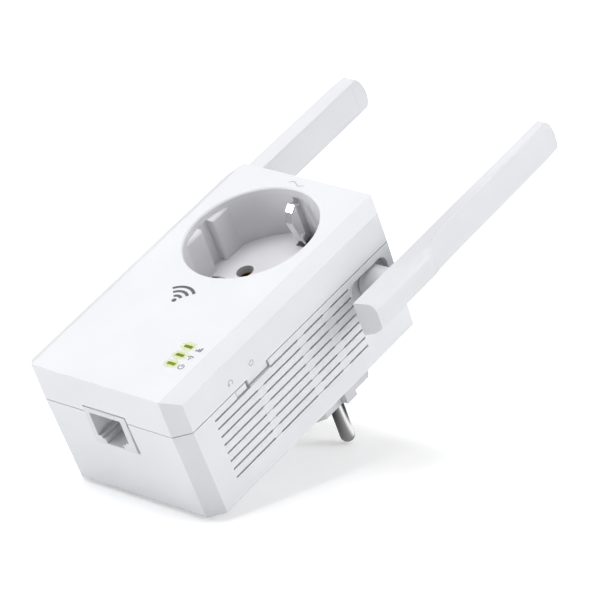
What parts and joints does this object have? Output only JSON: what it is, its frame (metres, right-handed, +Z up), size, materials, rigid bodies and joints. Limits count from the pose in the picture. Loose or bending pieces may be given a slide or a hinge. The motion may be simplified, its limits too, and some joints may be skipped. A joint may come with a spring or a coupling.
{
  "type": "wifi range extender",
  "caption": "Plug-in wifi range extender with a pass-through mains socket, network port, side push buttons, vented sides and folding antennas.",
  "frame": {"origin": "centre of the mains plug face, midway between the pins, where it meets the wall socket", "axes": "+Z up along the long axis of the body and the raised antennas, the front face looks along -Y, the pins point along +Y, +X is the side with the buttons"},
  "size_m": [0.0928, 0.0797, 0.1662],
  "materials": {
    "shell": "satin white, moulded",
    "antenna": "satin white, moulded",
    "socket": "white, moulded",
    "button": "white, moulded",
    "nickel": "nickel plated, polished",
    "spring_steel": "nickel plated strip",
    "brass": "stamped",
    "screw_steel": "zinc plated",
    "board": "green solder mask",
    "chip": "black epoxy",
    "shield_tin": "tinned sheet",
    "guide": "frosted, lit yellow green",
    "led": "lit",
    "jack": "light grey, moulded",
    "gold": "gold plated",
    "switch": "black",
    "coil": "wound, taped",
    "capacitor": "sleeved",
    "ceramic": "ceramic tube",
    "lead": "insulated wire",
    "coax": "coaxial cable",
    "nylon": "natural nylon"
  },
  "bodies": {
    "housing": {"front_cover": "shell", "rear_housing": "shell", "housing_screws": "screw_steel", "socket_well": "socket", "socket_earth_strap": "spring_steel", "live_contact": "brass", "neutral_contact": "brass", "plug_base": "socket", "plug_pin_live": "nickel", "plug_pin_neutral": "nickel", "plug_earth_strap": "spring_steel", "main_board": "board", "main_board_screws": "screw_steel", "processor": "chip", "rf_shield": "shield_tin", "status_leds": "led", "light_guide": "guide", "rj45_jack": "jack", "rj45_contacts": "gold", "reset_switch": "switch", "power_switch": "switch", "power_board": "board", "power_board_screws": "screw_steel", "transformer": "coil", "filter_capacitors": "capacitor", "fuse": "ceramic", "mains_leads": "lead", "link_leads": "lead", "hinge_washer_left": "nylon", "antenna_coax_left": "coax", "coax_socket_left": "gold", "hinge_washer_right": "nylon", "antenna_coax_right": "coax", "coax_socket_right": "gold"},
    "antenna_left": {"antenna_shell_left": "antenna", "antenna_cover_left": "antenna", "antenna_element_left": "board", "hinge_clip_left": "spring_steel"},
    "antenna_right": {"antenna_shell_right": "antenna", "antenna_cover_right": "antenna", "antenna_element_right": "board", "hinge_clip_right": "spring_steel"},
    "reset": {"reset_button": "button"},
    "power": {"power_button": "button"}
  },
  "joints": [
    {"name": "antenna_right_swing", "type": "hinge", "parent": "housing", "child": "antenna_right", "pos_m": [0.028, -0.0387, 0.0138], "axis": [1, 0, 0], "range_deg": [0, 180]},
    {"name": "antenna_left_swing", "type": "hinge", "parent": "housing", "child": "antenna_left", "pos_m": [-0.028, -0.0387, 0.0138], "axis": [1, 0, 0], "range_deg": [0, 180]},
    {"name": "reset_press", "type": "slide", "parent": "housing", "child": "reset", "axis": [-1, 0, 0], "range_m": [0, 0.0006], "stiffness_N_per_m": 400, "springref_m": -0.0005},
    {"name": "power_press", "type": "slide", "parent": "housing", "child": "power", "axis": [1, 0, 0], "range_m": [-0.0003, 0.0016]}
  ]
}
